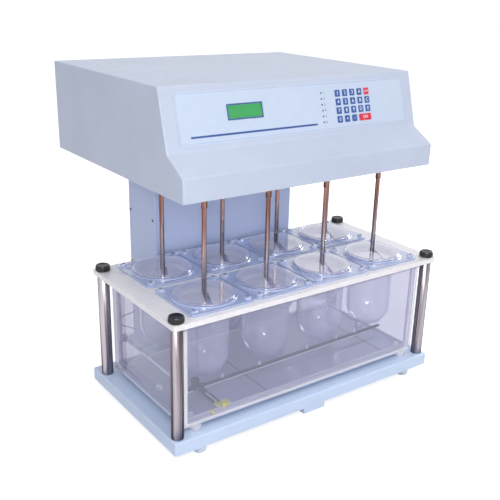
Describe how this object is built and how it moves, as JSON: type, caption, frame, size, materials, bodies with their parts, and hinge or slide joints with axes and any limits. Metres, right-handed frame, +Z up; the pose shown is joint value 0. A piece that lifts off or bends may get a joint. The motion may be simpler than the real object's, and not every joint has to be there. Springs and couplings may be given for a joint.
{
  "type": "tablet dissolution tester",
  "caption": "Bench tablet dissolution tester: stirred glass vessels hung in a clear water bath under a belt-driven paddle head with a keypad panel.",
  "frame": {"origin": "on the bench under the middle of the machine's footprint", "axes": "+Z up; -Y towards the operator, where the sloped control panel faces; +X to the operator's right, where the keypad is"},
  "size_m": [0.72, 0.592, 0.7235],
  "materials": {
    "base_paint": "satin pale blue-grey paint",
    "head_paint": "satin pale blue paint",
    "foot_pale": "matte",
    "post_steel": "brushed",
    "shaft_steel": "polished",
    "tube_steel": "satin",
    "knob_black": "satin moulded",
    "plate_white": "satin milky white",
    "centring_blue": "glossy translucent",
    "bath_acrylic": "clear polished",
    "vessel_glass": "clear polished",
    "lid_clear": "clear polished",
    "overlay_film": "satin printed film",
    "display_green": "glossy",
    "motor_casing": "satin",
    "belt_rubber": "matte"
  },
  "bodies": {
    "root": {"base_tray": "base_paint", "foot_1": "foot_pale", "foot_2": "foot_pale", "foot_3": "foot_pale", "foot_4": "foot_pale", "post_1": "post_steel", "post_2": "post_steel", "post_3": "post_steel", "post_4": "post_steel", "vessel_plate": "plate_white", "water_bath": "bath_acrylic", "centring_plate_1": "centring_blue", "centring_plate_2": "centring_blue", "centring_plate_3": "centring_blue", "centring_plate_4": "centring_blue", "centring_plate_5": "centring_blue", "centring_plate_6": "centring_blue", "centring_plate_7": "centring_blue", "centring_plate_8": "centring_blue", "vessel_1": "vessel_glass", "vessel_2": "vessel_glass", "vessel_3": "vessel_glass", "vessel_4": "vessel_glass", "vessel_5": "vessel_glass", "vessel_6": "vessel_glass", "vessel_7": "vessel_glass", "vessel_8": "vessel_glass", "probe_tube": "tube_steel", "supply_tube": "tube_steel", "column_shell": "base_paint", "column_back_cover": "base_paint", "head_cover": "head_paint", "head_floor": "head_paint", "head_back_panel": "head_paint", "control_overlay": "overlay_film", "display_window": "display_green", "drive_motor": "motor_casing", "drive_belt": "belt_rubber"},
    "paddle_1": {"paddle_shaft_1": "shaft_steel"},
    "paddle_2": {"paddle_shaft_2": "shaft_steel"},
    "paddle_3": {"paddle_shaft_3": "shaft_steel"},
    "paddle_4": {"paddle_shaft_4": "shaft_steel"},
    "paddle_5": {"paddle_shaft_5": "shaft_steel"},
    "paddle_6": {"paddle_shaft_6": "shaft_steel"},
    "paddle_7": {"paddle_shaft_7": "shaft_steel"},
    "paddle_8": {"paddle_shaft_8": "shaft_steel"},
    "motor_drive": {"motor_pulley": "shaft_steel"},
    "lid_1": {"vessel_lid_1": "lid_clear"},
    "lid_2": {"vessel_lid_2": "lid_clear"},
    "lid_3": {"vessel_lid_3": "lid_clear"},
    "lid_4": {"vessel_lid_4": "lid_clear"},
    "lid_5": {"vessel_lid_5": "lid_clear"},
    "lid_6": {"vessel_lid_6": "lid_clear"},
    "lid_7": {"vessel_lid_7": "lid_clear"},
    "lid_8": {"vessel_lid_8": "lid_clear"},
    "knob_1": {"post_knob_1": "knob_black"},
    "knob_2": {"post_knob_2": "knob_black"},
    "knob_3": {"post_knob_3": "knob_black"},
    "knob_4": {"post_knob_4": "knob_black"},
    "rocker": {"power_switch": "knob_black"}
  },
  "joints": [
    {"name": "paddle_1_spin", "type": "hinge", "parent": "root", "child": "paddle_1", "pos_m": [-0.2355, -0.2025, 0.45], "axis": [0, 0, 1], "continuous": true},
    {"name": "paddle_2_spin", "type": "hinge", "parent": "root", "child": "paddle_2", "pos_m": [-0.0785, -0.2025, 0.45], "axis": [0, 0, 1], "continuous": true},
    {"name": "paddle_3_spin", "type": "hinge", "parent": "root", "child": "paddle_3", "pos_m": [0.0785, -0.2025, 0.45], "axis": [0, 0, 1], "continuous": true},
    {"name": "paddle_4_spin", "type": "hinge", "parent": "root", "child": "paddle_4", "pos_m": [0.2355, -0.2025, 0.45], "axis": [0, 0, 1], "continuous": true},
    {"name": "paddle_5_spin", "type": "hinge", "parent": "root", "child": "paddle_5", "pos_m": [-0.2355, -0.0305, 0.45], "axis": [0, 0, 1], "continuous": true},
    {"name": "paddle_6_spin", "type": "hinge", "parent": "root", "child": "paddle_6", "pos_m": [-0.0785, -0.0305, 0.45], "axis": [0, 0, 1], "continuous": true},
    {"name": "paddle_7_spin", "type": "hinge", "parent": "root", "child": "paddle_7", "pos_m": [0.0785, -0.0305, 0.45], "axis": [0, 0, 1], "continuous": true},
    {"name": "paddle_8_spin", "type": "hinge", "parent": "root", "child": "paddle_8", "pos_m": [0.2355, -0.0305, 0.45], "axis": [0, 0, 1], "continuous": true},
    {"name": "motor_pulley_spin", "type": "hinge", "parent": "root", "child": "motor_drive", "pos_m": [0, -0.0255, 0.5483], "axis": [0, 0, 1], "continuous": true},
    {"name": "lid_1_lift", "type": "slide", "parent": "root", "child": "lid_1", "axis": [0, 0, 1], "range_m": [0, 0.15]},
    {"name": "lid_2_lift", "type": "slide", "parent": "root", "child": "lid_2", "axis": [0, 0, 1], "range_m": [0, 0.15]},
    {"name": "lid_3_lift", "type": "slide", "parent": "root", "child": "lid_3", "axis": [0, 0, 1], "range_m": [0, 0.15]},
    {"name": "lid_4_lift", "type": "slide", "parent": "root", "child": "lid_4", "axis": [0, 0, 1], "range_m": [0, 0.15]},
    {"name": "lid_5_lift", "type": "slide", "parent": "root", "child": "lid_5", "axis": [0, 0, 1], "range_m": [0, 0.15]},
    {"name": "lid_6_lift", "type": "slide", "parent": "root", "child": "lid_6", "axis": [0, 0, 1], "range_m": [0, 0.15]},
    {"name": "lid_7_lift", "type": "slide", "parent": "root", "child": "lid_7", "axis": [0, 0, 1], "range_m": [0, 0.15]},
    {"name": "lid_8_lift", "type": "slide", "parent": "root", "child": "lid_8", "axis": [0, 0, 1], "range_m": [0, 0.15]},
    {"name": "knob_1_turn", "type": "hinge", "parent": "root", "child": "knob_1", "pos_m": [-0.3437, -0.2765, 0.3052], "axis": [0, 0, 1], "continuous": true},
    {"name": "knob_2_turn", "type": "hinge", "parent": "root", "child": "knob_2", "pos_m": [0.3437, -0.2765, 0.3052], "axis": [0, 0, 1], "continuous": true},
    {"name": "knob_3_turn", "type": "hinge", "parent": "root", "child": "knob_3", "pos_m": [-0.3437, 0.0435, 0.3052], "axis": [0, 0, 1], "continuous": true},
    {"name": "knob_4_turn", "type": "hinge", "parent": "root", "child": "knob_4", "pos_m": [0.3437, 0.0435, 0.3052], "axis": [0, 0, 1], "continuous": true},
    {"name": "power_switch_rock", "type": "hinge", "parent": "root", "child": "rocker", "pos_m": [-0.233, 0.287, 0.5665], "axis": [1, 0, 0], "range_deg": [0, 24]}
  ],
  "couplings": [
    {"joint": "paddle_2_spin", "follows": "paddle_1_spin", "ratio": 1},
    {"joint": "paddle_3_spin", "follows": "paddle_1_spin", "ratio": 1},
    {"joint": "paddle_4_spin", "follows": "paddle_1_spin", "ratio": 1},
    {"joint": "paddle_5_spin", "follows": "paddle_1_spin", "ratio": 1},
    {"joint": "paddle_6_spin", "follows": "paddle_1_spin", "ratio": 1},
    {"joint": "paddle_7_spin", "follows": "paddle_1_spin", "ratio": 1},
    {"joint": "paddle_8_spin", "follows": "paddle_1_spin", "ratio": 1},
    {"joint": "motor_pulley_spin", "follows": "paddle_1_spin", "ratio": 1.3333}
  ]
}
